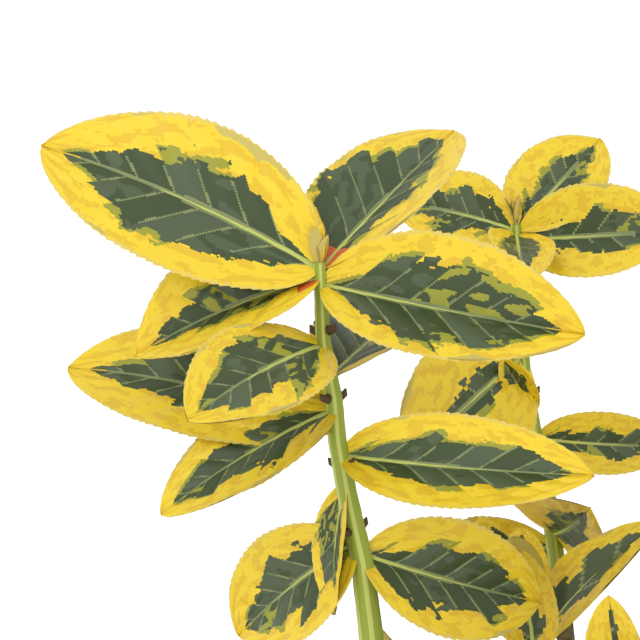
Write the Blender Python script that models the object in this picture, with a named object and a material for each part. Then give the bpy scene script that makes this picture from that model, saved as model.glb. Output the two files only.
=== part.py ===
# A variegated wintercreeper in a plain clay pot, sizes in millimetres until a mesh is made.
import math
import random

import bmesh
import bpy
from mathutils import Matrix, Vector
from mathutils.bvhtree import BVHTree

MM = 0.001
GAP = 0.3

# Pot
POT_HEIGHT = 118.0
POT_RIM_RADIUS = 66.0
POT_FOOT_RADIUS = 47.0
POT_WALL = 5.0
RIM_BAND = 24.0
RIM_STEP = 4.0
POT_SIDES = 32
SOIL_TOP = 106.0
SOIL_FLOOR = 60.0
POT_FLOOR = 8.0
RIM_DEPTH = 9.0
EDGE = 1.5
LIP = 0.8
SOIL_SLACK = GAP + 0.2

# Stem foot
FOOT_HEIGHT = 26.0
FOOT_RADIUS = 7.0
FOOT_FLARE = 4.5
FOOT_LEAN = 1.5
FOOT_TAPER = 0.12
FOOT_SIDES = 20
LOWEST_BOUGH = 6.0
BOUGH_SIDES = 6
STEM_SIDES = 5

# Limbs and shoots
BOUGH_RADIUS = 1.9
SHOOT_RADIUS = 1.45
TIP_RADIUS = 0.9
LEAF_LENGTH = 31.0
LEAF_THICK = 0.7
NODE_STEP = 9.5
SHOOT_LENGTH = 48.0
CROWN_RADIUS = 116.0
CROWN_TOP = 212.0
TALL_TOP = 270.0
STATIONS = (0.0, 0.3, 0.72)
LEAD_STATIONS = (0.0, 0.14, 0.36, 0.62, 0.86)
LEADING = ("shoot_lead", "shoot_rear")
CELL_MARGIN = 0.3
LEAF_SHARES = (1.0, 0.82, 0.64)
CROWN_FLOOR = 96.0
RIM_CLEARANCE = 3.0
POT_CLEARANCE = 5.0

# An ordinary leaf: thickness and width as shares of its length, twist, fold, sag and sweep
THICK_SHARE = 0.02
WIDTH_SHARE = (0.52, 0.6)
LEAF_TWIST = 0.35
LEAF_FOLD = (8.0, 24.0)
LEAF_SAG = (-0.02, 0.07)
LEAF_SWEEP = 0.03
LEAST_HALF = 0.55
ROOT_INSET = 0.4

# Pairs of leaves from the tip down: share of the full length, and rise off the stem in degrees
LEVEL_SHARES = (0.55, 0.86, 1.0, 1.0, 0.95)
LEVEL_RISES = (58.0, 40.0, 30.0, 22.0, 15.0)
TWIG_LEVEL = 2
TWIG_LENGTH = 19.0
TWIG_RADII = (1.0, 0.85, 0.6)
TWIG_SIDES = 3
TWIG_PAIRS = ((1.0, 0.55), (0.5, 0.7))
TALL_SHARE = 1.45
HEIGHT_SWING = 6.0

# Limbs: how steeply they leave the foot, and the steps that they are moved by until each is clear
BOUGH_OUT = 0.85
BOUGH_UP = 0.6
BOUGH_POINTS = 8
HEIGHT_STEP = 1.3
RANK_STEP = 0.85
TURN_STEP = 0.09
TRIALS_A_TURN = 14
TRIALS = 200
LIMB_CLEARANCE = 0.2
FIRST_SEED = 100

# Rings of ordinary shoots: count, radius and height of the tips, tilt, first azimuth, slots left out
RINGS = (
    (9, 86.0, 146.0, 58.0, 18.0, ()),
    (7, 52.0, 172.0, 32.0, 103.0, (0, 2, 4, 6)),
    (2, 20.0, 188.0, 10.0, 130.0, ()),
)

# Two more tall shoots on the far side of the crown: tip and tilt
TALL = {
    "front": ((37.0, -46.0, 232.0), 14.0),
    "rear": ((40.0, 44.0, 238.0), 12.0),
}

# The view that the two leading shoots are laid out in: its middle, its pitch
VIEW_MIDDLE = Vector((-45.0, -15.0, 242.0))
VIEW_PITCH = math.radians(5.0)

# The blade that the leaves of the two leading shoots share
VIEW_SAG = 0.03
VIEW_SWEEP = 0.02
ROOT_ROUND = 0.6
TIP_ROUND = 0.7

# Leading shoot: its stem from the tip down (right, up, away) in the view
LEAD_STEM_RADIUS = 1.75
LEAD_STEM = ((0, 8, 0), (0.5, -3, 0), (2, -11, 0), (2.5, -17, 0.5), (4, -25, 1.5), (6, -34, 3), (7.5, -46, 6))
# Its leaves: height of the root on the stem, tip in the view, width, roll and fold
LEAD_LEAVES = {
    "topLeft": (7.0, (-40, 25, 8), 24, -20, 12),
    "topRight": (7.0, (20, 28, 20), 21, 45, 20),
    "right": (5.0, (36, -2, -10), 21, 20, 30),
    "left": (6.0, (-26, -5, 4), 19, -35, 30),
    "middle": (-3.5, (-17, -13, -25), 16, -30, 10),
    "lowLeft": (-12.5, (-22, -27, -4), 15, -45, 12),
    "lowRight": (-19.0, (37, -21, -12), 15, 20, 25),
    "backLeft": (-15.0, (-37, -7, 16), 19, -30, 15),
    "backRight": (-8.0, (14, 2, 26), 17, 50, 20),
    "behind": (5.5, (12, 12, 14), 13, 60, 20),
    "footLeft": (-23.0, (2, -42, 5), 8, -55, 20),
    "footRight": (-33.0, (32, -41, 12), 18, 15, 20),
    "footBack": (-31.0, (-12, -47, 20), 17, -20, 20),
}

# Shoot behind it, to the right
REAR_STEM = ((33, 16, 65), (33.5, 3, 65), (34.5, -10, 65), (36, -18, 65), (38, -27, 65), (40, -42, 64))
REAR_LEAVES = {
    "rearLeft": (15.0, (13, 20, 72), 15, -20, 20),
    "rearTop": (15.2, (48, 31, 72), 17, 30, 12),
    "rearRight": (13.5, (60, 15, 58), 18, 20, 20),
    "rearFront": (14.5, (33, 6, 46), 12, 10, 20),
    "rearDrop": (-6.0, (13, -24, 44), 24, 10, 8),
    "rearThin": (-16.0, (30, -6, 58), 6, 10, 20),
    "rearLow": (-20.0, (60, -21, 62), 11, 10, 15),
    "rearFoot": (-36.0, (43, -30, 44), 20, 10, 15),
    "rearBack": (-38.0, (20, -44, 78), 18, 10, 15),
}

COLOURS = {
    "clay": ((0.48, 0.19, 0.10, 1.0), 0.85),
    "soil": ((0.05, 0.03, 0.02, 1.0), 0.95),
    "bark": ((0.19, 0.17, 0.08, 1.0), 0.8),
    "leaf": ((0.75, 0.55, 0.06, 1.0), 0.45),
}


def clearScene():
    for item in list(bpy.data.objects):
        bpy.data.objects.remove(item, do_unlink=True)


def material(name):
    found = bpy.data.materials.get(name)
    if found:
        return found
    colour, roughness = COLOURS[name]
    made = bpy.data.materials.new(name)
    made.use_nodes = True
    shader = made.node_tree.nodes["Principled BSDF"]
    shader.inputs["Base Color"].default_value = colour
    shader.inputs["Roughness"].default_value = roughness
    shader.inputs["Metallic"].default_value = 0.0
    return made


def addMesh(name, points, faces, materialName, collection=None):
    mesh = bpy.data.meshes.new(name)
    mesh.from_pydata([tuple(point * MM) for point in points], [], faces)
    mesh.materials.append(material(materialName))
    mesh.update()
    item = bpy.data.objects.new(name, mesh)
    (collection or bpy.context.scene.collection).objects.link(item)
    return item


def lathe(name, profile, sides, materialName, centre=None):
    """Closed turned solid: profile points (radius, height), the first and last on the axis."""
    centre = centre or (lambda height: Vector((0.0, 0.0)))
    points, faces, rings = [], [], []
    for radius, height in profile:
        shift = centre(height)
        if radius == 0.0:
            rings.append([len(points)])
            points.append(Vector((shift.x, shift.y, height)))
            continue
        rings.append(range(len(points), len(points) + sides))
        for i in range(sides):
            angle = 2 * math.pi * i / sides
            spoke = Vector((math.cos(angle), math.sin(angle))) * radius + shift
            points.append(Vector((spoke.x, spoke.y, height)))
    for low, high in zip(rings, rings[1:]):
        for i in range(sides):
            j = (i + 1) % sides
            if len(low) == 1:
                faces.append((low[0], high[j], high[i]))
            elif len(high) == 1:
                faces.append((low[i], low[j], high[0]))
            else:
                faces.append((low[i], low[j], high[j], high[i]))
    return addMesh(name, points, faces, materialName)


def tubeMesh(path, radii, sides):
    """Closed tube along a path, with flat ends."""
    points, faces = [], []
    side = None
    for i, point in enumerate(path):
        ahead = path[min(i + 1, len(path) - 1)] - path[max(i - 1, 0)]
        ahead.normalize()
        if side is None:
            side = ahead.orthogonal().normalized()
        side = (side - ahead * side.dot(ahead)).normalized()
        other = ahead.cross(side)
        for k in range(sides):
            angle = 2 * math.pi * k / sides
            points.append(point + (side * math.cos(angle) + other * math.sin(angle)) * radii[i])
    for i in range(len(path) - 1):
        for k in range(sides):
            j = (k + 1) % sides
            low, high = i * sides, (i + 1) * sides
            faces.append((low + k, low + j, high + j, high + k))
    faces.append(tuple(reversed(range(sides))))
    faces.append(tuple(range((len(path) - 1) * sides, len(path) * sides)))
    return points, faces


def curvePath(start, startWay, end, endWay, count):
    """Hermite curve between two points with a direction at each."""
    reach = (end - start).length
    path = []
    for i in range(count):
        t = i / (count - 1)
        path.append(start * (2 * t**3 - 3 * t**2 + 1) + startWay * reach * (t**3 - 2 * t**2 + t)
                    + end * (3 * t**2 - 2 * t**3) + endWay * reach * (t**3 - t**2))
    return path


def fromView(right, up, away):
    """A place in the view, in the plant's own frame."""
    sin, cos = math.sin(VIEW_PITCH), math.cos(VIEW_PITCH)
    return VIEW_MIDDLE + Vector((right, up * sin + away * cos, up * cos - away * sin))


def onStem(stem, height):
    """Place in the view where a stem, given from its tip down, reaches a height."""
    for high, low in zip(stem, stem[1:]):
        if high[1] >= height >= low[1]:
            share = (high[1] - height) / (high[1] - low[1])
            return [top + (foot - top) * share for top, foot in zip(high, low)]
    return stem[-1]


def viewLeaf(stem, height, tip, width, roll, fold):
    """A leaf of a leading shoot, with its root in the stem and its tip placed in the view."""
    start, end = fromView(*onStem(stem, height)), fromView(*tip)
    way = (end - start).normalized()
    toEye = Vector((0.0, -math.cos(VIEW_PITCH), math.sin(VIEW_PITCH)))
    face = (toEye - way * toEye.dot(way)).normalized()
    turned = math.radians(roll)
    normal = face * math.cos(turned) + face.cross(way) * math.sin(turned)
    return dict(base=start, tip=end, normal=normal, width=width, fold=math.radians(fold),
                sag=VIEW_SAG, sweep=VIEW_SWEEP, rootRound=ROOT_ROUND, tipRound=TIP_ROUND)


def leafPoint(leaf, s, t, lift=0.0):
    """Point on a leaf's upper face: s from base to tip, t from edge to edge."""
    length = (leaf["tip"] - leaf["base"]).length
    way = (leaf["tip"] - leaf["base"]) / length
    across = way.cross(leaf["normal"])
    peak = leaf["rootRound"] / (leaf["rootRound"] + leaf["tipRound"])
    half = LEAST_HALF
    if 0.0 < s < 1.0:
        outline = (s / peak) ** leaf["rootRound"] * ((1 - s) / (1 - peak)) ** leaf["tipRound"]
        half = max(LEAST_HALF, leaf["width"] / 2 * outline)
    bow = 4 * s * (1 - s)
    return (leaf["base"] + way * (length * s)
            + leaf["normal"] * (leaf["sag"] * length * bow + abs(t) * half * math.sin(leaf["fold"]) + lift)
            + across * (leaf["sweep"] * length * bow + t * half * math.cos(leaf["fold"])))


def leafMesh(leaf, stations):
    """Closed blade: a ring of four points at each station and one point at the tip."""
    points, faces = [], []
    thick = max(LEAF_THICK, (leaf["tip"] - leaf["base"]).length * THICK_SHARE)
    way = (leaf["tip"] - leaf["base"]).normalized()
    for s in stations:
        root = way * (ROOT_INSET if s == 0.0 else 0.0)
        for t, lift in ((-1, 0.0), (0, thick / 2), (1, 0.0), (0, -thick / 2)):
            points.append(leafPoint(leaf, s, t, lift) + root)
    points.append(leafPoint(leaf, 1.0, 0.0))
    for i in range(len(stations) - 1):
        for k in range(4):
            j = (k + 1) % 4
            low, high = 4 * i, 4 * (i + 1)
            faces.append((low + k, low + j, high + j, high + k))
    last = 4 * (len(stations) - 1)
    for k in range(4):
        faces.append((last + k, last + (k + 1) % 4, len(points) - 1))
    faces.append((3, 2, 1, 0))
    return points, faces


def shootLeaf(place, axis, azimuth, rise, length, rng):
    """A leaf standing off a shoot at an azimuth round its axis."""
    side = axis.orthogonal().normalized()
    out = Matrix.Rotation(azimuth, 3, axis) @ side
    way = (out * math.cos(rise) + axis * math.sin(rise)).normalized()
    up = Vector((0.0, 0.0, 1.0)) * 0.6 + axis
    normal = (up - way * up.dot(way)).normalized()
    normal = Matrix.Rotation(rng.uniform(-LEAF_TWIST, LEAF_TWIST), 3, way) @ normal
    return dict(base=place, tip=place + way * length, normal=normal,
                width=length * rng.uniform(*WIDTH_SHARE), fold=math.radians(rng.uniform(*LEAF_FOLD)),
                sag=rng.uniform(*LEAF_SAG), sweep=rng.uniform(-LEAF_SWEEP, LEAF_SWEEP),
                rootRound=ROOT_ROUND, tipRound=TIP_ROUND)


def shootPlan():
    """Every ordinary shoot: name, tip place and axis."""
    plan = []
    for ring, (count, radius, height, tilt, first, missing) in enumerate(RINGS):
        for slot in range(count):
            if slot in missing:
                continue
            turn = math.radians(first + 360.0 * slot / count)
            lean = math.radians(tilt)
            out = Vector((math.cos(turn), math.sin(turn), 0.0))
            tip = out * radius + Vector((0.0, 0.0, height + HEIGHT_SWING * math.sin(5.0 * slot + ring)))
            axis = out * math.sin(lean) + Vector((0.0, 0.0, math.cos(lean)))
            plan.append((f"shoot_{len(plan) + 1:02d}", tip, axis, SHOOT_LENGTH))
    for name, (tip, tilt) in TALL.items():
        place = Vector(tip)
        out = Vector((place.x, place.y, 0.0)).normalized()
        lean = math.radians(tilt)
        axis = out * math.sin(lean) + Vector((0.0, 0.0, math.cos(lean)))
        plan.append((f"tall_{name}", place, axis, SHOOT_LENGTH * TALL_SHARE))
    return plan


def stemOfShoot(tip, axis, length):
    """Points from the foot of a shoot's stem to its tip, bowed a little upward."""
    lower = (axis + Vector((axis.x, axis.y, 0.0)) * 0.25).normalized()
    foot = tip - axis * (length * 0.5) - lower * (length * 0.5)
    return curvePath(foot, lower, tip, (axis + Vector((0.0, 0.0, 0.3))).normalized(), 7)


def pointOnPath(path, distance):
    """Place and direction at a distance from the tip of a path that runs from foot to tip."""
    left = distance
    for high, low in zip(reversed(path[1:]), reversed(path[:-1])):
        span = (high - low).length
        if left <= span:
            return high + (low - high) * (left / span), (high - low).normalized()
        left -= span
    return path[0].copy(), (path[1] - path[0]).normalized()


def twigsAndLeaves(path, length, rng):
    """Side twigs and opposite pairs of leaves, each pair turned a quarter from the last."""
    twigs, leaves = [], []
    turn = rng.uniform(0.0, math.pi)
    distance, level = 0.6, 0
    while distance < length - 5.0:
        place, axis = pointOnPath(path, distance)
        step = min(level, len(LEVEL_SHARES) - 1)
        size = LEAF_LENGTH * LEVEL_SHARES[step] * rng.uniform(0.9, 1.08)
        rise = math.radians(LEVEL_RISES[step] + rng.uniform(-6, 6))
        for half in (0.0, math.pi):
            leaves.append(shootLeaf(place, axis, turn + half + rng.uniform(-0.2, 0.2), rise, size, rng))
        if level == TWIG_LEVEL:
            side = Matrix.Rotation(turn + rng.choice((0.0, math.pi)), 3, axis) @ axis.orthogonal().normalized()
            way = (side * 0.85 + axis * 0.6).normalized()
            twigs.append([place + way * GAP, place + way * (TWIG_LENGTH / 2), place + way * TWIG_LENGTH])
            for along, share in TWIG_PAIRS:
                spot = place + way * (TWIG_LENGTH * along - ROOT_INSET)
                steep = math.radians(38 * along + 10)
                for half in (0.0, math.pi):
                    azimuth = turn + half + math.pi * along
                    leaves.append(shootLeaf(spot, way, azimuth, steep, LEAF_LENGTH * share, rng))
        distance += NODE_STEP * (0.55 if level == 0 else rng.uniform(0.9, 1.15))
        turn += math.pi / 2
        level += 1
    return twigs, leaves


def farFromOthers(point, own, stems):
    """True where a point is nearer its own stem than any other."""
    here = min((point - spot).length for spot in stems[own])
    return all(here + CELL_MARGIN < min((point - spot).length for spot in spots)
               for name, spots in stems.items() if name != own)


def insideCrown(point, top):
    """True inside the crown's outline and clear of the pot."""
    reach = math.hypot(point.x, point.y)
    if reach > CROWN_RADIUS or point.z > top or point.z < CROWN_FLOOR:
        return False
    return point.z > POT_HEIGHT + RIM_CLEARANCE or reach > POT_RIM_RADIUS + POT_CLEARANCE


def densePath(path, step=3.0):
    dense = []
    for a, b in zip(path, path[1:]):
        count = max(1, int((b - a).length / step))
        dense += [a + (b - a) * (i / count) for i in range(count)]
    return dense + [path[-1]]


def keepOuterShell(mesh):
    """Keep the largest shell: a sealed hollow is filled and a loose scrap is dropped."""
    work = bmesh.new()
    work.from_mesh(mesh)
    bmesh.ops.triangulate(work, faces=work.faces[:])
    left = set(work.faces)
    shells = []
    while left:
        seed = left.pop()
        shell, edge = [seed], [seed]
        while edge:
            face = edge.pop()
            for side in face.edges:
                for near in side.link_faces:
                    if near in left:
                        left.remove(near)
                        shell.append(near)
                        edge.append(near)
        volume = sum(face.verts[0].co.dot(face.verts[1].co.cross(face.verts[2].co)) for face in shell)
        shells.append((volume, shell))
    shells.sort(key=lambda entry: entry[0])
    dropped = [face for volume, shell in shells[:-1] for face in shell]
    bmesh.ops.delete(work, geom=dropped, context="FACES")
    bmesh.ops.delete(work, geom=[vert for vert in work.verts if not vert.link_faces], context="VERTS")
    work.to_mesh(mesh)
    work.free()


def joinMass(name, stem, twigs, leaves):
    """One solid from a stem, its side twigs and its leaves."""
    parts = bpy.data.collections.new("parts_" + name)
    bpy.context.scene.collection.children.link(parts)
    for mesh in twigs + leaves:
        addMesh("piece", *mesh, "leaf", parts)
    body = addMesh(name, *stem, "leaf")
    union = body.modifiers.new("join", "BOOLEAN")
    union.operation = "UNION"
    union.operand_type = "COLLECTION"
    union.collection = parts
    union.solver = "MANIFOLD"
    bpy.context.view_layer.update()
    mesh = bpy.data.meshes.new_from_object(body.evaluated_get(bpy.context.evaluated_depsgraph_get()))
    body.modifiers.clear()
    body.data = mesh
    keepOuterShell(mesh)
    for piece in list(parts.objects):
        bpy.data.objects.remove(piece, do_unlink=True)
    bpy.data.collections.remove(parts)
    return body


def makePot():
    inner = POT_RIM_RADIUS - POT_WALL
    slope = (POT_RIM_RADIUS - RIM_STEP - POT_FOOT_RADIUS) / (POT_HEIGHT - RIM_BAND)
    wallAtSoil = POT_FOOT_RADIUS + slope * SOIL_FLOOR - POT_WALL
    under = POT_HEIGHT - RIM_BAND
    profile = ((0.0, 0.0), (POT_FOOT_RADIUS - EDGE, 0.0), (POT_FOOT_RADIUS, EDGE),
               (POT_RIM_RADIUS - RIM_STEP, under), (POT_RIM_RADIUS - LIP, under),
               (POT_RIM_RADIUS, under + LIP), (POT_RIM_RADIUS + LIP, POT_HEIGHT - EDGE),
               (POT_RIM_RADIUS - LIP, POT_HEIGHT), (inner + LIP, POT_HEIGHT), (inner, POT_HEIGHT - EDGE),
               (inner, POT_HEIGHT - RIM_DEPTH), (wallAtSoil, SOIL_FLOOR),
               (POT_FOOT_RADIUS - POT_WALL, POT_FLOOR), (0.0, POT_FLOOR))
    lathe("pot", profile, POT_SIDES, "clay").data.shade_smooth()
    low = POT_FOOT_RADIUS - POT_WALL - SOIL_SLACK
    high = wallAtSoil - SOIL_SLACK
    shoulder = SOIL_TOP - 1.0
    nearRim = high + (inner - wallAtSoil) * (shoulder - SOIL_FLOOR) / (POT_HEIGHT - RIM_DEPTH - SOIL_FLOOR)
    soil = ((0.0, POT_FLOOR + GAP), (low, POT_FLOOR + GAP), (high, SOIL_FLOOR), (nearRim, shoulder),
            (nearRim * 0.6, SOIL_TOP), (0.0, SOIL_TOP))
    lathe("potting_soil", soil, POT_SIDES, "soil")


def footCentre(height):
    share = max(0.0, (height - SOIL_TOP) / FOOT_HEIGHT)
    return Vector((FOOT_LEAN * share, -FOOT_LEAN * 0.6 * share))


def footRadius(share):
    """Radius of the stem foot at a share of its height."""
    return FOOT_RADIUS * (1 - FOOT_TAPER * share) + FOOT_FLARE * (1 - share) ** 6


def makeFoot():
    base = SOIL_TOP + GAP
    profile = [(0.0, base)]
    for share in (0.0, 0.08, 0.2, 0.4, 0.7, 0.94):
        profile.append((footRadius(share), base + FOOT_HEIGHT * share))
    profile += [(FOOT_RADIUS * 0.7, base + FOOT_HEIGHT), (0.0, base + FOOT_HEIGHT)]
    lathe("stem_foot", profile, FOOT_SIDES, "bark", footCentre)


def boughPath(foot, footWay, height, turn):
    """A limb from the side of the stem foot to the foot of a shoot, started a little to one side."""
    centre = footCentre(SOIL_TOP + height)
    out = Vector((foot.x - centre.x, foot.y - centre.y, 0.0)).normalized()
    out = Matrix.Rotation(turn, 3, "Z") @ out
    way = (out * BOUGH_OUT + Vector((0.0, 0.0, BOUGH_UP))).normalized()
    seat = footRadius((height + BOUGH_RADIUS * 0.5) / FOOT_HEIGHT) + GAP + BOUGH_RADIUS * way.z
    start = Vector((centre.x, centre.y, SOIL_TOP + height)) + out * seat
    end = foot - footWay * GAP
    return curvePath(start, way, end, footWay, BOUGH_POINTS)


def shorter(leaf, share):
    """The same leaf at a share of its length and width."""
    way = leaf["tip"] - leaf["base"]
    return dict(leaf, tip=leaf["base"] + way * share, width=leaf["width"] * share)


def leafFits(leaf, tree, name, fixed, stems, limbs, taken, own):
    """True where a leaf stays in its shoot's space, clear of limbs and other shoots, and joins its own."""
    if any(tree.overlap(limb) for limb in limbs):
        return False
    if fixed:
        return True
    top = TALL_TOP if name.startswith("tall") else CROWN_TOP
    for s, t in ((1.0, 0), (0.6, 1), (0.6, -1), (0.3, 1), (0.3, -1), (0.85, 0)):
        spot = leafPoint(leaf, s, t)
        if not (insideCrown(spot, top) and farFromOthers(spot, name, stems)):
            return False
    if any(tree.overlap(other) for other in taken):
        return False
    return any(tree.overlap(other) for other in own)


def taperedRadii(path, first, last):
    steps = len(path) - 1
    return [first + (last - first) * i / steps for i in range(steps + 1)]


def makeLimbs(shoots):
    """One limb for each shoot, the outermost lowest on the foot, each moved until it clears the others."""
    placed = []
    span = FOOT_HEIGHT - LOWEST_BOUGH - 2.0
    order = sorted(shoots, key=lambda name: -math.hypot(shoots[name][0].x, shoots[name][0].y))
    for rank, name in enumerate(order):
        path = shoots[name]
        way = (path[1] - path[0]).normalized()
        for trial in range(TRIALS):
            height = LOWEST_BOUGH + (rank * RANK_STEP + trial * HEIGHT_STEP) % span
            turn = (trial // TRIALS_A_TURN) * TURN_STEP * (-1) ** trial
            limb = boughPath(path[0], way, height, turn)
            radii = taperedRadii(limb, BOUGH_RADIUS, SHOOT_RADIUS)
            around = [radius + LIMB_CLEARANCE for radius in radii]
            fat = BVHTree.FromPolygons(*tubeMesh(limb, around, BOUGH_SIDES))
            if not any(fat.overlap(other) for other in placed):
                break
        else:
            print("no clear place for", name)
        placed.append(fat)
        addMesh("bough_" + name, *tubeMesh(limb, radii, BOUGH_SIDES), "bark").data.shade_smooth()
    return placed


def makeShoot(name, path, leaves, twigs, stems, limbs, taken):
    """One mass: the stem with the twigs and leaves that fit. Returns what later shoots avoid."""
    fixed = name in LEADING
    thick = LEAD_STEM_RADIUS if name == "shoot_lead" else SHOOT_RADIUS
    stem = tubeMesh(path, taperedRadii(path, thick, TIP_RADIUS), STEM_SIDES)
    own, keptTwigs, keptLeaves = [BVHTree.FromPolygons(*stem)], [], []
    for twig in twigs:
        mesh = tubeMesh(twig, TWIG_RADII, TWIG_SIDES)
        tree = BVHTree.FromPolygons(*mesh)
        clear = not any(tree.overlap(other) for other in limbs + taken)
        if clear and all(farFromOthers(spot, name, stems) for spot in twig):
            keptTwigs.append(mesh)
            own.append(tree)
    for leaf in leaves:
        for share in (1.0,) if fixed else LEAF_SHARES:
            blade = shorter(leaf, share)
            mesh = leafMesh(blade, LEAD_STATIONS if fixed else STATIONS)
            tree = BVHTree.FromPolygons(*mesh)
            if leafFits(blade, tree, name, fixed, stems, limbs, taken, own):
                keptLeaves.append(mesh)
                own.append(tree)
                break
    body = joinMass(name, stem, keptTwigs, keptLeaves)
    count = sum(len(face.vertices) - 2 for face in body.data.polygons)
    print(name, "leaves", len(keptLeaves), "of", len(leaves), "triangles", count)
    return own


def build():
    clearScene()
    makePot()
    makeFoot()
    shoots = {"shoot_lead": [fromView(*spot) for spot in reversed(LEAD_STEM)],
              "shoot_rear": [fromView(*spot) for spot in reversed(REAR_STEM)]}
    placed = {"shoot_lead": [viewLeaf(LEAD_STEM, *values) for values in LEAD_LEAVES.values()],
              "shoot_rear": [viewLeaf(REAR_STEM, *values) for values in REAR_LEAVES.values()]}
    lengths = {}
    for name, tip, axis, length in shootPlan():
        shoots[name] = stemOfShoot(tip, axis, length)
        lengths[name] = length
    stems = {name: densePath(path) for name, path in shoots.items()}
    limbs = makeLimbs(shoots)

    # The two leading shoots come first, and the others keep clear of them and of each other
    taken = []
    for number, (name, path) in enumerate(shoots.items()):
        rng = random.Random(FIRST_SEED + number)
        if name in placed:
            twigs, leaves = [], placed[name]
        else:
            twigs, leaves = twigsAndLeaves(path, lengths[name], rng)
        taken += makeShoot(name, path, leaves, twigs, stems, limbs, taken)


build()
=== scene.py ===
import math
import random

import bpy
from mathutils import Matrix, Vector, noise
from mathutils.bvhtree import BVHTree


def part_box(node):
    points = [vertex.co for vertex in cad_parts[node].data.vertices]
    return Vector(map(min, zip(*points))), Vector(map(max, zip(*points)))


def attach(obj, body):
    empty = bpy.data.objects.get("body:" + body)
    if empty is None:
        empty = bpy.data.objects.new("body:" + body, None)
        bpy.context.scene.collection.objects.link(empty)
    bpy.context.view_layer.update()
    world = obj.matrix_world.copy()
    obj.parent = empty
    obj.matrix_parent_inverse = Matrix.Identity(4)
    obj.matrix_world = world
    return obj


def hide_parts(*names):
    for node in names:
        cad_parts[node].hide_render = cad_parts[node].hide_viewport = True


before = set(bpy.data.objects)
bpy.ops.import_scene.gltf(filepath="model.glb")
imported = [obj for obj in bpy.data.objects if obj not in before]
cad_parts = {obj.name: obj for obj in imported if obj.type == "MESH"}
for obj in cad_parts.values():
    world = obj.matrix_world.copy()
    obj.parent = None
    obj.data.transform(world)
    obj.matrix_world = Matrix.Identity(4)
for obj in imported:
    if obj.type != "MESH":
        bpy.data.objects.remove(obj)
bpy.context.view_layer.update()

mm = 0.001
gap = 0.3
up = Vector((0.0, 0.0, 1.0))

# Pot and soil, from the frame
potHigh = Vector(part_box("pot")[1]) / mm
soilHigh = Vector(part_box("potting_soil")[1]) / mm
potHeight = potHigh.z
potRimRadius = 66.0
soilTop = soilHigh.z

# The crown's rule, as in the part: sizes in millimetres
foot = dict(height=26.0, radius=7.0, flare=4.5, lean=1.5, taper=0.12, lowest=6.0)
limb = dict(radius=1.9, out=0.85, up=0.6, points=8, sides=6, heightStep=1.3, rankStep=0.85,
            turnStep=0.09, trialsATurn=14, trials=200, clearance=0.2)
shoot = dict(radius=1.45, tip=0.9, lead=1.75, length=48.0, tallShare=1.45, nodeStep=9.5, sides=5)
crown = dict(radius=116.0, top=212.0, tallTop=270.0, floor=96.0, margin=0.3)
leafRule = dict(length=31.0, width=(0.52, 0.6), twist=0.35, fold=(8.0, 24.0), sag=(-0.02, 0.07),
                sweep=0.03, leastHalf=0.55, rootRound=0.6, tipRound=0.7, thick=0.7, thickShare=0.02)
levelShares = (0.55, 0.86, 1.0, 1.0, 0.95)
levelRises = (58.0, 40.0, 30.0, 22.0, 15.0)
twig = dict(level=2, length=19.0, radii=(1.0, 0.85, 0.6), sides=3, pairs=((1.0, 0.55), (0.5, 0.7)))
leafShares = (1.0, 0.82, 0.64)
fixedStations = (0.0, 0.14, 0.36, 0.62, 0.86)
firstSeed = 100
rings = ((9, 86.0, 146.0, 58.0, 18.0, ()), (7, 52.0, 172.0, 32.0, 103.0, (0, 2, 4, 6)),
         (2, 20.0, 188.0, 10.0, 130.0, ()))
tall = {"front": ((37.0, -46.0, 232.0), 14.0), "rear": ((40.0, 44.0, 238.0), 12.0)}

# A leaf's fine shape: teeth a millimetre, and tooth, pucker and wave as shares of its width
blade = dict(teeth=0.75, leastTeeth=12, tooth=0.035, pucker=0.02, wave=0.03)
# Lateral veins a blade, and how far forwards they lean
veins = dict(count=7.5, lean=0.26)
leafPieceLimit = 165000

# The view: its middle, pitch and distance, and the real width that it shows
viewMiddle = Vector((-45.0, -15.0, 242.0))
viewPitch = math.radians(5.0)
viewDistance = 320.0
viewWidth = 89.6

leadStem = ((0, 8, 0), (0.5, -3, 0), (2, -11, 0), (2.5, -17, 0.5), (4, -25, 1.5), (6, -34, 3), (7.5, -46, 6))
leadLeaves = {
    "topLeft": (7.0, (-40, 25, 8), 24, -20, 12),
    "topRight": (7.0, (20, 28, 20), 21, 45, 20),
    "right": (5.0, (36, -2, -10), 21, 20, 30),
    "left": (6.0, (-26, -5, 4), 19, -35, 30),
    "middle": (-3.5, (-17, -13, -25), 16, -30, 10),
    "lowLeft": (-12.5, (-22, -27, -4), 15, -45, 12),
    "lowRight": (-19.0, (37, -21, -12), 15, 20, 25),
    "backLeft": (-15.0, (-37, -7, 16), 19, -30, 15),
    "backRight": (-8.0, (14, 2, 26), 17, 50, 20),
    "behind": (5.5, (12, 12, 14), 13, 60, 20),
    "footLeft": (-23.0, (2, -42, 5), 8, -55, 20),
    "footRight": (-33.0, (32, -41, 12), 18, 15, 20),
    "footBack": (-31.0, (-12, -47, 20), 17, -20, 20),
}
rearStem = ((33, 16, 65), (33.5, 3, 65), (34.5, -10, 65), (36, -18, 65), (38, -27, 65), (40, -42, 64))
rearLeaves = {
    "rearLeft": (15.0, (13, 20, 72), 15, -20, 20),
    "rearTop": (15.2, (48, 31, 72), 17, 30, 12),
    "rearRight": (13.5, (60, 15, 58), 18, 20, 20),
    "rearFront": (14.5, (33, 6, 46), 12, 10, 20),
    "rearDrop": (-6.0, (13, -24, 44), 24, 10, 8),
    "rearThin": (-16.0, (30, -6, 58), 6, 10, 20),
    "rearLow": (-20.0, (60, -21, 62), 11, 10, 15),
    "rearFoot": (-36.0, (43, -30, 44), 20, 10, 15),
    "rearBack": (-38.0, (20, -44, 78), 18, 10, 15),
}
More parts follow.
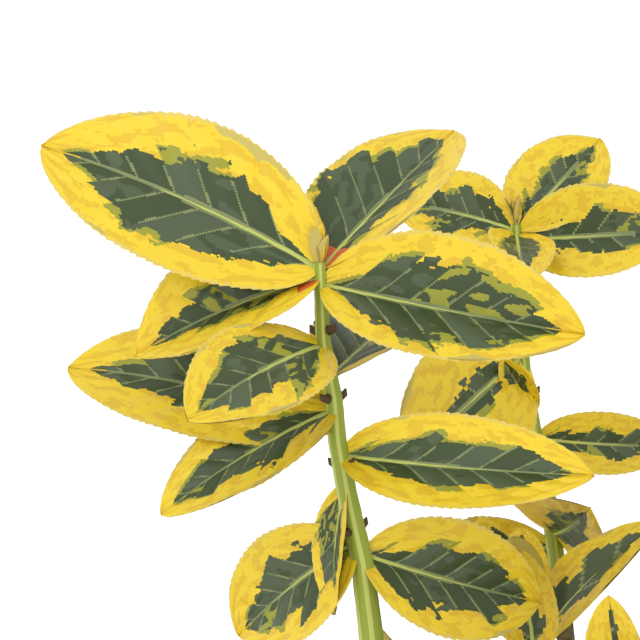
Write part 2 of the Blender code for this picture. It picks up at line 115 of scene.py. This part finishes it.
# How far the green reaches from the midrib on the two sides of a leaf, and a reddish root or not
greenOfLead = {
    "topLeft": (0.62, 0.52, False), "topRight": (0.9, 0.5, True), "right": (0.6, 0.72, False),
    "left": (0.42, 0.5, True), "middle": (0.78, 0.72, False), "lowLeft": (0.7, 0.62, False),
    "lowRight": (0.7, 0.74, False), "backLeft": (0.5, 0.55, False), "backRight": (1.1, 1.1, False),
    "behind": (0.12, 0.1, False), "rearDrop": (0.3, 0.3, False), "rearRight": (0.55, 0.5, False),
}


def linear(hexColour):
    values = [int(hexColour[i:i + 2], 16) / 255 for i in (1, 3, 5)]
    return [v / 12.92 if v <= 0.04045 else ((v + 0.055) / 1.055) ** 2.4 for v in values] + [1.0]


def addNode(tree, kind, **settings):
    node = tree.nodes.new(kind)
    for name, value in settings.items():
        setattr(node, name, value)
    return node


def principled(name, hexColour, roughness, specular=0.5):
    made = bpy.data.materials.new(name)
    made.use_nodes = True
    shader = made.node_tree.nodes["Principled BSDF"]
    shader.inputs["Base Color"].default_value = linear(hexColour)
    shader.inputs["Roughness"].default_value = roughness
    shader.inputs["Specular IOR Level"].default_value = specular
    return made, made.node_tree, shader


def bump(tree, shader, grainSize, height, strength):
    # grain of a real size in metres, on object coordinates
    place = addNode(tree, "ShaderNodeTexCoord")
    grain = addNode(tree, "ShaderNodeTexNoise")
    grain.inputs["Scale"].default_value = 1.0 / grainSize
    grain.inputs["Detail"].default_value = 6.0
    relief = addNode(tree, "ShaderNodeBump")
    relief.inputs["Distance"].default_value = height
    relief.inputs["Strength"].default_value = strength
    tree.links.new(place.outputs["Object"], grain.inputs["Vector"])
    tree.links.new(grain.outputs["Fac"], relief.inputs["Height"])
    tree.links.new(relief.outputs["Normal"], shader.inputs["Normal"])
    return grain


def blendColours(tree, shader, grain, low, high, start, end):
    ramp = addNode(tree, "ShaderNodeValToRGB")
    ramp.color_ramp.elements[0].position = start
    ramp.color_ramp.elements[0].color = linear(low)
    ramp.color_ramp.elements[1].position = end
    ramp.color_ramp.elements[1].color = linear(high)
    tree.links.new(grain.outputs["Fac"], ramp.inputs["Fac"])
    tree.links.new(ramp.outputs["Color"], shader.inputs["Base Color"])


# Leaf blade: waxy evergreen cuticle, one plain colour for each part of the variegation; the pale rim colour is a
# painted highlight along the leaf's edge
leafColours = (("gold", "#dfb927"), ("yellow", "#eacb2b"), ("paintedRimHighlight", "#dcc45c"), ("darkGreen", "#3b4a28"),
               ("greyGreen", "#4c5a3d"), ("lime", "#98982f"), ("vein", "#808a58"), ("rust", "#cf6420"),
               ("underside", "#c4b35c"), ("undersideGreen", "#76835a"))
leafSlots = {}
leafMaterials = []
for index, (name, colour) in enumerate(leafColours):
    made, tree, shader = principled("leaf_" + name, colour, 0.42, 0.4)
    bump(tree, shader, 0.0009, 0.00005, 0.35)
    leafSlots[name] = index
    leafMaterials.append(made)

# Young stem: smooth green skin with paler ridges and corky brown bud scars
stemMaterials = []
stemColours = (("green", "#93a13a", 0.5), ("ridge", "#bfc667", 0.5), ("scar", "#5a4630", 0.85))
for name, colour, roughness in stemColours:
    made, tree, shader = principled("stem_" + name, colour, roughness, 0.35)
    bump(tree, shader, 0.0006, 0.00008, 0.4)
    stemMaterials.append(made)

# Bark of the older limbs: grey-brown, finely cracked
bark, tree, shader = principled("bark", "#6b5d42", 0.88, 0.2)
blendColours(tree, shader, bump(tree, shader, 0.0025, 0.0006, 0.8), "#3d3424", "#8b7d5c", 0.35, 0.68)

# Fired clay: dry orange terracotta with a bloom of lime
clay, tree, shader = principled("terracotta", "#b5623c", 0.88, 0.25)
blendColours(tree, shader, bump(tree, shader, 0.0035, 0.0002, 0.4), "#a9583a", "#ba6f4d", 0.3, 0.75)

# Potting soil: dark peat
soil, tree, shader = principled("peat", "#2e2118", 0.95, 0.15)
blendColours(tree, shader, bump(tree, shader, 0.0015, 0.0008, 1.0), "#1b130d", "#4a382a", 0.35, 0.7)
print("materials", len(bpy.data.materials))


def curvePath(start, startWay, end, endWay, count):
    reach = (end - start).length
    path = []
    for i in range(count):
        t = i / (count - 1)
        path.append(start * (2 * t**3 - 3 * t**2 + 1) + startWay * reach * (t**3 - 2 * t**2 + t)
                    + end * (3 * t**2 - 2 * t**3) + endWay * reach * (t**3 - t**2))
    return path


def fromView(right, high, away):
    sin, cos = math.sin(viewPitch), math.cos(viewPitch)
    return viewMiddle + Vector((right, high * sin + away * cos, high * cos - away * sin))


def onStem(stem, height):
    for high, low in zip(stem, stem[1:]):
        if high[1] >= height >= low[1]:
            share = (high[1] - height) / (high[1] - low[1])
            return [top + (bottom - top) * share for top, bottom in zip(high, low)]
    return stem[-1]


def viewLeaf(name, stem, height, tip, width, roll, fold):
    start, end = fromView(*onStem(stem, height)), fromView(*tip)
    way = (end - start).normalized()
    toEye = Vector((0.0, -math.cos(viewPitch), math.sin(viewPitch)))
    face = (toEye - way * toEye.dot(way)).normalized()
    turned = math.radians(roll)
    normal = face * math.cos(turned) + face.cross(way) * math.sin(turned)
    return dict(name=name, base=start, tip=end, normal=normal, width=width, fold=math.radians(fold),
                sag=0.03, sweep=0.02)


def halfWidth(leaf, s):
    if s <= 0.0 or s >= 1.0:
        return leafRule["leastHalf"] if s <= 0.0 else 0.02
    rootRound, tipRound = leafRule["rootRound"], leafRule["tipRound"]
    peak = rootRound / (rootRound + tipRound)
    outline = (s / peak) ** rootRound * ((1 - s) / (1 - peak)) ** tipRound
    return leaf["width"] / 2 * outline


def leafPoint(leaf, s, t, lift=0.0, least=None):
    span = leaf["tip"] - leaf["base"]
    length = span.length
    way = span / length
    across = way.cross(leaf["normal"])
    half = max(leafRule["leastHalf"] if least is None else least, halfWidth(leaf, s))
    bow = 4 * s * (1 - s)
    return (leaf["base"] + way * (length * s)
            + leaf["normal"] * (leaf["sag"] * length * bow + abs(t) * half * math.sin(leaf["fold"]) + lift)
            + across * (leaf["sweep"] * length * bow + t * half * math.cos(leaf["fold"])))


def coarseLeaf(leaf, stations=(0.0, 0.3, 0.72)):
    # the part's own blade, to tell which leaves have room
    thick = max(leafRule["thick"], (leaf["tip"] - leaf["base"]).length * leafRule["thickShare"])
    way = (leaf["tip"] - leaf["base"]).normalized()
    points, faces = [], []
    for s in stations:
        for t, lift in ((-1, 0.0), (0, thick / 2), (1, 0.0), (0, -thick / 2)):
            points.append(leafPoint(leaf, s, t, lift) + way * (0.4 if s == 0.0 else 0.0))
    points.append(leaf["tip"].copy())
    for i in range(len(stations) - 1):
        for k in range(4):
            j = (k + 1) % 4
            faces.append((4 * i + k, 4 * i + j, 4 * i + 4 + j, 4 * i + 4 + k))
    last = 4 * (len(stations) - 1)
    faces += [(last + k, last + (k + 1) % 4, len(points) - 1) for k in range(4)]
    return points, faces + [(3, 2, 1, 0)]


def tube(path, radii, sides):
    points, faces, side = [], [], None
    for i, point in enumerate(path):
        ahead = (path[min(i + 1, len(path) - 1)] - path[max(i - 1, 0)]).normalized()
        if side is None:
            side = ahead.orthogonal().normalized()
        side = (side - ahead * side.dot(ahead)).normalized()
        other = ahead.cross(side)
        for k in range(sides):
            angle = 2 * math.pi * k / sides
            points.append(point + (side * math.cos(angle) + other * math.sin(angle)) * radii[i])
    for i in range(len(path) - 1):
        for k in range(sides):
            j = (k + 1) % sides
            faces.append((i * sides + k, i * sides + j, (i + 1) * sides + j, (i + 1) * sides + k))
    faces.append(tuple(reversed(range(sides))))
    faces.append(tuple(range((len(path) - 1) * sides, len(path) * sides)))
    return points, faces


def tapered(path, first, last):
    return [first + (last - first) * i / (len(path) - 1) for i in range(len(path))]


def dense(path, step=3.0):
    spots = []
    for a, b in zip(path, path[1:]):
        count = max(1, int((b - a).length / step))
        spots += [a + (b - a) * (i / count) for i in range(count)]
    return spots + [path[-1]]


def shootLeaf(place, axis, azimuth, rise, length, rng):
    side = axis.orthogonal().normalized()
    out = Matrix.Rotation(azimuth, 3, axis) @ side
    way = (out * math.cos(rise) + axis * math.sin(rise)).normalized()
    lift = up * 0.6 + axis
    normal = (lift - way * lift.dot(way)).normalized()
    normal = Matrix.Rotation(rng.uniform(-leafRule["twist"], leafRule["twist"]), 3, way) @ normal
    return dict(name="crown", base=place, tip=place + way * length, normal=normal,
                width=length * rng.uniform(*leafRule["width"]),
                fold=math.radians(rng.uniform(*leafRule["fold"])), sag=rng.uniform(*leafRule["sag"]),
                sweep=rng.uniform(-leafRule["sweep"], leafRule["sweep"]))


def shootPlan():
    plan = []
    for ring, (count, radius, height, tilt, first, missing) in enumerate(rings):
        for place in range(count):
            if place in missing:
                continue
            turn, lean = math.radians(first + 360.0 * place / count), math.radians(tilt)
            out = Vector((math.cos(turn), math.sin(turn), 0.0))
            tip = out * radius + up * (height + 6.0 * math.sin(5.0 * place + ring))
            plan.append((f"shoot_{len(plan) + 1:02d}", tip, out * math.sin(lean) + up * math.cos(lean),
                         shoot["length"]))
    for name, (tip, tilt) in tall.items():
        place, lean = Vector(tip), math.radians(tilt)
        out = Vector((place.x, place.y, 0.0)).normalized()
        plan.append((f"tall_{name}", place, out * math.sin(lean) + up * math.cos(lean),
                     shoot["length"] * shoot["tallShare"]))
    return plan


def stemOfShoot(tip, axis, length):
    lower = (axis + Vector((axis.x, axis.y, 0.0)) * 0.25).normalized()
    start = tip - axis * (length * 0.5) - lower * (length * 0.5)
    return curvePath(start, lower, tip, (axis + up * 0.3).normalized(), 7)


def pointOnPath(path, distance):
    left = distance
    for high, low in zip(reversed(path[1:]), reversed(path[:-1])):
        span = (high - low).length
        if left <= span:
            return high + (low - high) * (left / span), (high - low).normalized()
        left -= span
    return path[0].copy(), (path[1] - path[0]).normalized()


def twigsAndLeaves(path, length, rng):
    twigs, leaves = [], []
    turn, distance, level = rng.uniform(0.0, math.pi), 0.6, 0
    while distance < length - 5.0:
        place, axis = pointOnPath(path, distance)
        step = min(level, len(levelShares) - 1)
        size = leafRule["length"] * levelShares[step] * rng.uniform(0.9, 1.08)
        rise = math.radians(levelRises[step] + rng.uniform(-6, 6))
        for half in (0.0, math.pi):
            leaves.append(shootLeaf(place, axis, turn + half + rng.uniform(-0.2, 0.2), rise, size, rng))
        if level == twig["level"]:
            turned = Matrix.Rotation(turn + rng.choice((0.0, math.pi)), 3, axis)
            way = (turned @ axis.orthogonal().normalized() * 0.85 + axis * 0.6).normalized()
            twigs.append([place + way * gap, place + way * (twig["length"] / 2), place + way * twig["length"]])
            for along, share in twig["pairs"]:
                spot = place + way * (twig["length"] * along - 0.4)
                steep = math.radians(38 * along + 10)
                for half in (0.0, math.pi):
                    azimuth = turn + half + math.pi * along
                    leaves.append(shootLeaf(spot, way, azimuth, steep, leafRule["length"] * share, rng))
        distance += shoot["nodeStep"] * (0.55 if level == 0 else rng.uniform(0.9, 1.15))
        turn += math.pi / 2
        level += 1
    return twigs, leaves


def footCentre(height):
    share = max(0.0, (height - soilTop) / foot["height"])
    return Vector((foot["lean"] * share, -foot["lean"] * 0.6 * share, 0.0))


def footRadius(share):
    return foot["radius"] * (1 - foot["taper"] * share) + foot["flare"] * (1 - share) ** 6


def limbPath(start, startWay, height, turn, count):
    centre = footCentre(soilTop + height)
    out = Vector((start.x - centre.x, start.y - centre.y, 0.0)).normalized()
    out = Matrix.Rotation(turn, 3, "Z") @ out
    way = (out * limb["out"] + up * limb["up"]).normalized()
    seat = footRadius((height + limb["radius"] * 0.5) / foot["height"]) + gap + limb["radius"] * way.z
    first = centre + up * (soilTop + height) + out * seat
    return curvePath(first, way, start - startWay * gap, startWay, count)


def placeLimbs(shoots):
    placed, settled = [], {}
    span = foot["height"] - foot["lowest"] - 2.0
    order = sorted(shoots, key=lambda name: -math.hypot(shoots[name][0].x, shoots[name][0].y))
    for rank, name in enumerate(order):
        path = shoots[name]
        way = (path[1] - path[0]).normalized()
        for trial in range(limb["trials"]):
            height = foot["lowest"] + (rank * limb["rankStep"] + trial * limb["heightStep"]) % span
            turn = (trial // limb["trialsATurn"]) * limb["turnStep"] * (-1) ** trial
            line = limbPath(path[0], way, height, turn, limb["points"])
            around = [r + limb["clearance"] for r in tapered(line, limb["radius"], shoot["radius"])]
            fat = BVHTree.FromPolygons(*tube(line, around, limb["sides"]))
            if not any(fat.overlap(other) for other in placed):
                break
        placed.append(fat)
        settled[name] = limbPath(path[0], way, height, turn, 26)
    return placed, settled


def ownSpace(point, own, stems):
    here = min((point - spot).length for spot in stems[own])
    return all(here + crown["margin"] < min((point - spot).length for spot in spots)
               for name, spots in stems.items() if name != own)


def insideCrown(point, top):
    reach = math.hypot(point.x, point.y)
    if reach > crown["radius"] or point.z > top or point.z < crown["floor"]:
        return False
    return point.z > potHeight + 3.0 or reach > potRimRadius + 5.0


def shorter(leaf, share):
    way = leaf["tip"] - leaf["base"]
    return dict(leaf, tip=leaf["base"] + way * share, width=leaf["width"] * share)


def leafFits(leaf, tree, name, fixed, stems, limbs, taken, own):
    if any(tree.overlap(other) for other in limbs):
        return False
    if fixed:
        return True
    top = crown["tallTop"] if name.startswith("tall") else crown["top"]
    for s, t in ((1.0, 0), (0.6, 1), (0.6, -1), (0.3, 1), (0.3, -1), (0.85, 0)):
        spot = leafPoint(leaf, s, t)
        if not (insideCrown(spot, top) and ownSpace(spot, name, stems)):
            return False
    if any(tree.overlap(other) for other in taken):
        return False
    return any(tree.overlap(other) for other in own)


def growPlant():
    shoots = {"shoot_lead": [fromView(*spot) for spot in reversed(leadStem)],
              "shoot_rear": [fromView(*spot) for spot in reversed(rearStem)]}
    fixedLeaves = {"shoot_lead": [viewLeaf(name, leadStem, *row) for name, row in leadLeaves.items()],
                   "shoot_rear": [viewLeaf(name, rearStem, *row) for name, row in rearLeaves.items()]}
    lengths = {}
    for name, tip, axis, length in shootPlan():
        shoots[name] = stemOfShoot(tip, axis, length)
        lengths[name] = length
    stems = {name: dense(path) for name, path in shoots.items()}
    limbs, settled = placeLimbs(shoots)
    grown, taken = {}, []
    for number, (name, path) in enumerate(shoots.items()):
        rng = random.Random(firstSeed + number)
        fixed = name in fixedLeaves
        twigs, leaves = ([], fixedLeaves[name]) if fixed else twigsAndLeaves(path, lengths[name], rng)
        thick = shoot["lead"] if name == "shoot_lead" else shoot["radius"]
        own = [BVHTree.FromPolygons(*tube(path, tapered(path, thick, shoot["tip"]), shoot["sides"]))]
        keptTwigs, keptLeaves = [], []
        for line in twigs:
            tree = BVHTree.FromPolygons(*tube(line, twig["radii"], twig["sides"]))
            clear = not any(tree.overlap(other) for other in limbs + taken)
            if clear and all(ownSpace(spot, name, stems) for spot in line):
                keptTwigs.append(line)
                own.append(tree)
        for leaf in leaves:
            for share in (1.0,) if fixed else leafShares:
                smaller = shorter(leaf, share)
                mesh = coarseLeaf(smaller, fixedStations) if fixed else coarseLeaf(smaller)
                tree = BVHTree.FromPolygons(*mesh)
                if leafFits(smaller, tree, name, fixed, stems, limbs, taken, own):
                    keptLeaves.append(smaller)
                    own.append(tree)
                    break
        taken += own
        grown[name] = dict(path=path, twigs=keptTwigs, leaves=keptLeaves, thick=thick)
    return grown, settled


def vary(seed):
    # one leaf's variegation: how green, and each vein sector's own reach and shade
    rng = random.Random(seed)
    amount = rng.choice((0.45, 0.55, 0.6, 0.68, 0.75, 0.3))
    sectors = [[(rng.uniform(0.55, 1.1), rng.random(), rng.random()) for _ in range(14)] for _ in range(2)]
    return dict(reach=(amount * rng.uniform(0.85, 1.1), amount * rng.uniform(0.85, 1.1)), rust=False,
                sectors=sectors, shift=rng.random(), drift=rng.uniform(0.0, 50.0))


def veinPlace(s, t, shift):
    # lateral veins leave the midrib forwards, seven to a side
    return (s - veins["lean"] * abs(t) ** 0.9) * veins["count"] + 2.5 + shift * 0.5 + (0.25 if t > 0 else 0.0)


def leafSlot(s, t, pattern):
    side = 1 if t > 0 else 0
    edge = abs(t)
    vein = veinPlace(s, t, pattern["shift"])
    sector, along = int(vein) % 14, vein % 1.0
    wild = noise.noise(Vector((s * 13.0 + pattern["drift"], t * 7.0, side * 9.0)))
    fine = noise.noise(Vector((s * 42.0, t * 22.0 + pattern["drift"], 3.0)))
    growth = max(0.0, math.sin(math.pi * min(1.0, max(0.0, (s - 0.02) / 0.9)))) ** 0.55
    swing, shade, mottle = pattern["sectors"][side][sector]
    reach = pattern["reach"][side] * growth * swing * (1.0 + 0.3 * wild + 0.1 * fine)
    midrib = 0.05 * (1.0 - s) + 0.014
    if pattern["rust"] and s < 0.12 and edge < 0.55:
        return leafSlots["rust"]
    if edge < midrib:
        return leafSlots["vein"] if reach > 0.15 else leafSlots["gold"]
    if edge < reach:
        if mottle > 0.85 and wild > 0.1:
            return leafSlots["lime"]
        if along < 0.08 and edge < reach * 0.85:
            return leafSlots["vein"]
        return leafSlots["greyGreen"] if shade + 0.45 * wild > 0.62 else leafSlots["darkGreen"]
    if edge < reach + 0.09 and mottle > 0.6:
        return leafSlots["lime"]
    # a pale band along the very edge: painted highlight of the translucent rim
    if edge > 0.95 + 0.05 * fine:
        return leafSlots["paintedRimHighlight"]
    return leafSlots["yellow"] if wild + 0.4 * fine > -0.12 else leafSlots["gold"]


def fineLeaf(leaf, rows, columns, pattern):
    # blade with a toothed edge, a soft crease, sunken veins and a wavy margin; its underside is coarser
    points, faces, slots = [], [], []
    teeth = max(blade["leastTeeth"], int((leaf["tip"] - leaf["base"]).length * blade["teeth"]))
    for i in range(rows + 1):
        s = i / rows
        tooth = (s * teeth) % 1.0
        for k in range(columns + 1):
            t = 2.0 * k / columns - 1.0
            spread = t * (1.0 + blade["tooth"] * (tooth - 0.4) * abs(t) ** 6)
            vein = veinPlace(s, t, pattern["shift"]) % 1.0
            between = math.sin(math.pi * vein) * abs(t) ** 0.5 * (1 - abs(t)) * 2
            pucker = blade["pucker"] * leaf["width"] * between
            drift = Vector((s * 5.0 + pattern["drift"], t * 1.5, 0.0))
            wave = blade["wave"] * leaf["width"] * abs(t) ** 3 * noise.noise(drift)
            lift = (pucker + wave) * min(1.0, 6 * s)
            points.append(leafPoint(leaf, s, spread, lift, 0.3 if s < 0.5 else 0.02))
    for i in range(rows):
        for k in range(columns):
            a = i * (columns + 1) + k
            faces.append((a, a + 1, a + columns + 2, a + columns + 1))
            slots.append(leafSlot((i + 0.5) / rows, 2.0 * (k + 0.5) / columns - 1.0, pattern))
    backRows, backColumns, start = max(8, rows // 2), max(4, columns // 2), len(points)
    for i in range(backRows + 1):
        for k in range(backColumns + 1):
            s, t = i / backRows, 2.0 * k / backColumns - 1.0
            points.append(leafPoint(leaf, s, t * 0.97, -0.3 * (1.0 - 0.6 * abs(t)), 0.3 if s < 0.5 else 0.02))
    for i in range(backRows):
        for k in range(backColumns):
            a = start + i * (backColumns + 1) + k
            faces.append((a, a + backColumns + 1, a + backColumns + 2, a + 1))
            s, t = (i + 0.5) / backRows, 2.0 * (k + 0.5) / backColumns - 1.0
            # the painted rim highlight counts as yellow on the underside
            yellow = leafSlot(s, t, pattern) in (leafSlots["yellow"], leafSlots["gold"], leafSlots["paintedRimHighlight"])
            slots.append(leafSlots["underside" if yellow else "undersideGreen"])
    return points, faces, slots


def addPiece(name, chunks, materials, nodes, smooth=True):
    points, faces, slots = [], [], []
    for part in chunks:
        start = len(points)
        points += [tuple(point * mm) for point in part[0]]
        faces += [tuple(index + start for index in face) for face in part[1]]
        slots += part[2] if len(part) > 2 else [0] * len(part[1])
    mesh = bpy.data.meshes.new(name)
    mesh.from_pydata(points, [], faces)
    for item in materials:
        mesh.materials.append(item)
    mesh.polygons.foreach_set("material_index", slots)
    if smooth:
        mesh.polygons.foreach_set("use_smooth", [True] * len(faces))
    mesh.update()
    piece = bpy.data.objects.new(name, mesh)
    bpy.context.scene.collection.objects.link(piece)
    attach(piece, "root")
    if nodes:
        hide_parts(*nodes)
    print(name, "triangles", sum(len(face) - 2 for face in faces))
    return piece


grown, limbLines = growPlant()
print("shoots", len(grown), "leaves", sum(len(entry["leaves"]) for entry in grown.values()))


# Leaves, in pieces of under 200,000 triangles
leafGrid = {"shoot_lead": (150, 76), "shoot_rear": (72, 36), "crown": (34, 18)}
pending, triangles, covers, made = [], 0, [], 0
for number, (name, entry) in enumerate(grown.items()):
    rows, columns = leafGrid.get(name, leafGrid["crown"])
    covers.append(name)
    for index, leaf in enumerate(entry["leaves"]):
        pattern = vary(1000 * number + index)
        if leaf["name"] in greenOfLead:
            low, high, rust = greenOfLead[leaf["name"]]
            pattern.update(reach=(low, high), rust=rust)
        pending.append(fineLeaf(leaf, rows, columns, pattern))
        triangles += 2 * rows * columns + rows * columns // 2
        if triangles > leafPieceLimit:
            made += 1
            addPiece(f"leaves_{made}", pending, leafMaterials, covers)
            pending, triangles, covers = [], 0, [name]
if pending:
    addPiece(f"leaves_{made + 1}", pending, leafMaterials, covers)


def ridgedStem(path, first, last, seed):
    # five-edged young stem, tapering, with a slightly uneven girth
    line = dense(path, 0.9)
    sides = 15
    points, faces = tube(line, tapered(line, first, last), sides)
    slots = [0] * len(faces)
    for index, point in enumerate(points):
        row, k = divmod(index, sides)
        ridge = 1.08 if k % 3 == 0 else 0.97
        rough = 1.0 + 0.05 * noise.noise(point * 0.8 + Vector((seed, 0.0, 0.0)))
        points[index] = line[row] + (point - line[row]) * ridge * rough
    for index in range((len(line) - 1) * sides):
        slots[index] = 1 if index % sides % 3 == 0 else 0
    return points, faces, slots


def budScar(place, axis, azimuth, radius):
    # small hooked corky point at a node
    side = Matrix.Rotation(azimuth, 3, axis) @ axis.orthogonal().normalized()
    line = [place + side * (radius * 0.7), place + side * (radius + 0.5) + axis * 0.2,
            place + side * (radius + 0.9) + axis * 0.9]
    points, faces = tube(line, (0.75, 0.5, 0.12), 7)
    return points, faces, [2] * len(faces)


def leafStalk(leaf, share):
    # leaf stalk running on as the midrib under the blade
    line = [leafPoint(leaf, share * i / 8, 0.0, -0.25) for i in range(9)]
    points, faces = tube(line, tapered(line, 0.62, 0.16), 6)
    return points, faces, [1] * len(faces)


def budLeaves(path, seed):
    # young sheathing leaves round the tip
    rng = random.Random(seed)
    place, axis = pointOnPath(path, 0.3)
    chunks = []
    for i in range(5):
        leaf = shootLeaf(place, axis, i * 2.4 + rng.uniform(-0.3, 0.3), math.radians(rng.uniform(62, 82)),
                         rng.uniform(4.0, 7.5), rng)
        leaf["width"] *= 0.7
        chunks.append(fineLeaf(leaf, 10, 6, dict(vary(seed + i), reach=(0.2, 0.2))))
    return chunks


stalks, buds = [], []
for number, (name, entry) in enumerate(grown.items()):
    stalks.append(ridgedStem(entry["path"], entry["thick"], shoot["tip"], number))
    for line in entry["twigs"]:
        stalks.append(ridgedStem(line, twig["radii"][0], twig["radii"][2], number))
    for leaf in entry["leaves"]:
        stalks.append(leafStalk(leaf, 0.85))
    for level in range(1, 5):
        place, axis = pointOnPath(entry["path"], shoot["nodeStep"] * level)
        for half in (0.0, math.pi):
            stalks.append(budScar(place, axis, level * math.pi / 2 + half + number, entry["thick"] * 0.95))
    buds += budLeaves(entry["path"], 500 + number)
addPiece("stems_and_stalks", stalks, stemMaterials, list(grown))
addPiece("bud_leaves", buds, leafMaterials, [])


# Limbs and the stem foot, with bark relief
def barked(points, faces, line, sides, depth):
    for index, point in enumerate(points):
        centre = line[min(index // sides, len(line) - 1)]
        crack = noise.noise(Vector((point.x * 0.9, point.y * 0.9, point.z * 0.28)))
        grain = noise.noise(point * 2.2)
        points[index] = centre + (point - centre) * (1.0 + depth * (crack + 0.4 * grain))
    return points, faces


barkChunks = []
for name, line in limbLines.items():
    points, faces = tube(line, tapered(line, limb["radius"], shoot["radius"]), 12)
    barkChunks.append(barked(points, faces, line, 12, 0.09))
footRows = 44
footHeights = [foot["height"] * i / footRows for i in range(footRows + 1)]
footLine = [footCentre(soilTop + height) + up * (soilTop + gap + height) for height in footHeights]
footRadii = [footRadius(i / footRows) for i in range(footRows + 1)]
footRadii[-1] *= 0.8
barkChunks.append(barked(*tube(footLine, footRadii, 40), footLine, 40, 0.07))
addPiece("limbs_and_foot", barkChunks, [bark], ["stem_foot"] + ["bough_" + name for name in limbLines])


# Crumbs of peat strewn over the soil
def crumbTree():
    tree = bpy.data.node_groups.new("peat crumbs", "GeometryNodeTree")
    tree.interface.new_socket(name="Geometry", in_out="INPUT", socket_type="NodeSocketGeometry")
    number = dict(in_out="INPUT", socket_type="NodeSocketFloat")
    density = tree.interface.new_socket(name="Crumbs a square metre", **number)
    size = tree.interface.new_socket(name="Crumb size", **number)
    tree.interface.new_socket(name="Geometry", in_out="OUTPUT", socket_type="NodeSocketGeometry")
    start, end = addNode(tree, "NodeGroupInput"), addNode(tree, "NodeGroupOutput")
    strew = addNode(tree, "GeometryNodeDistributePointsOnFaces")
    strew.inputs["Seed"].default_value = 7
    crumb = addNode(tree, "GeometryNodeMeshIcoSphere")
    crumb.inputs["Subdivisions"].default_value = 2
    sizes = addNode(tree, "FunctionNodeRandomValue", data_type="FLOAT_VECTOR")
    sizes.inputs[0].default_value = (0.35, 0.35, 0.25)
    sizes.inputs[1].default_value = (1.3, 1.1, 0.9)
    turns = addNode(tree, "FunctionNodeRandomValue", data_type="FLOAT_VECTOR")
    turns.inputs[1].default_value = (6.28, 6.28, 6.28)
    spread = addNode(tree, "GeometryNodeInstanceOnPoints")
    real = addNode(tree, "GeometryNodeRealizeInstances")
    paint = addNode(tree, "GeometryNodeSetMaterial")
    paint.inputs["Material"].default_value = soil
    link = tree.links.new
    link(start.outputs["Geometry"], strew.inputs["Mesh"])
    link(start.outputs["Crumbs a square metre"], strew.inputs["Density"])
    link(start.outputs["Crumb size"], crumb.inputs["Radius"])
    link(strew.outputs["Points"], spread.inputs["Points"])
    link(crumb.outputs["Mesh"], spread.inputs["Instance"])
    link(sizes.outputs["Value"], spread.inputs["Scale"])
    link(turns.outputs["Value"], spread.inputs["Rotation"])
    link(spread.outputs["Instances"], real.inputs["Geometry"])
    link(real.outputs["Geometry"], paint.inputs["Geometry"])
    link(paint.outputs["Geometry"], end.inputs["Geometry"])
    return tree, density.identifier, size.identifier


def makeCrumbs():
    reach, hole, sides = soilHigh.x * 0.97, foot["radius"] + foot["flare"], 48
    points = []
    for radius, height in ((hole, soilTop), (reach * 0.62, soilTop), (reach, soilTop - 0.9)):
        for i in range(sides):
            angle = 2 * math.pi * i / sides
            points.append(tuple(Vector((radius * math.cos(angle), radius * math.sin(angle), height)) * mm))
    faces = [(r * sides + i, (r + 1) * sides + i, (r + 1) * sides + (i + 1) % sides, r * sides + (i + 1) % sides)
             for r in range(2) for i in range(sides)]
    mesh = bpy.data.meshes.new("soil ring")
    mesh.from_pydata(points, [], faces)
    ring = bpy.data.objects.new("peat_crumbs", mesh)
    bpy.context.scene.collection.objects.link(ring)
    tree, density, size = crumbTree()
    strewn = ring.modifiers.new("crumbs", "NODES")
    strewn.node_group = tree
    strewn[density] = 120000.0
    strewn[size] = 0.0011
    bpy.context.view_layer.update()
    ring.data = bpy.data.meshes.new_from_object(ring.evaluated_get(bpy.context.evaluated_depsgraph_get()))
    ring.modifiers.clear()
    ring.data.polygons.foreach_set("use_smooth", [True] * len(ring.data.polygons))
    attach(ring, "root")
    print("peat_crumbs faces", len(ring.data.polygons))


makeCrumbs()
for name, item in (("pot", clay), ("potting_soil", soil)):
    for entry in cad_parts[name].material_slots:
        entry.material = item


# Stage: pale floor, white surroundings, two soft lamps
def addLamp(name, place, target, size, power):
    light = bpy.data.lights.new(name, "AREA")
    light.size = size
    light.energy = power
    item = bpy.data.objects.new(name, light)
    item.location = place
    item.rotation_euler = (Vector(target) - Vector(place)).to_track_quat("-Z", "Y").to_euler()
    bpy.context.scene.collection.objects.link(item)


floorMaterial, tree, shader = principled("white paper", "#ffffff", 0.9, 0.1)
shader.inputs["Emission Color"].default_value = (1.0, 1.0, 1.0, 1.0)
shader.inputs["Emission Strength"].default_value = 0.3
floorMesh = bpy.data.meshes.new("floor")
floorMesh.from_pydata([(-30, -30, 0), (30, -30, 0), (30, 30, 0), (-30, 30, 0)], [], [(0, 1, 2, 3)])
floorMesh.materials.append(floorMaterial)
floor = bpy.data.objects.new("floor", floorMesh)
bpy.context.scene.collection.objects.link(floor)
world = bpy.data.worlds.new("white")
world.use_nodes = True
world.node_tree.nodes["Background"].inputs["Color"].default_value = (1.0, 1.0, 1.0, 1.0)
world.node_tree.nodes["Background"].inputs["Strength"].default_value = 1.0
bpy.context.scene.world = world
aim = viewMiddle * mm
addLamp("key", (-0.5, -0.7, 0.95), aim, 0.5, 1.6)
addLamp("fill", (0.7, -0.5, 0.5), aim, 0.6, 0.5)

camera = bpy.data.cameras.new("camera")
camera.sensor_width = 36.0
camera.lens = 36.0 * viewDistance / viewWidth
eye = bpy.data.objects.new("camera", camera)
eye.location = fromView(0.0, 0.0, -viewDistance) * mm
eye.rotation_euler = (math.pi / 2 - viewPitch, 0.0, 0.0)
bpy.context.scene.collection.objects.link(eye)
bpy.context.scene.camera = eye
bpy.context.scene.view_settings.view_transform = "Standard"
print("stage and camera")
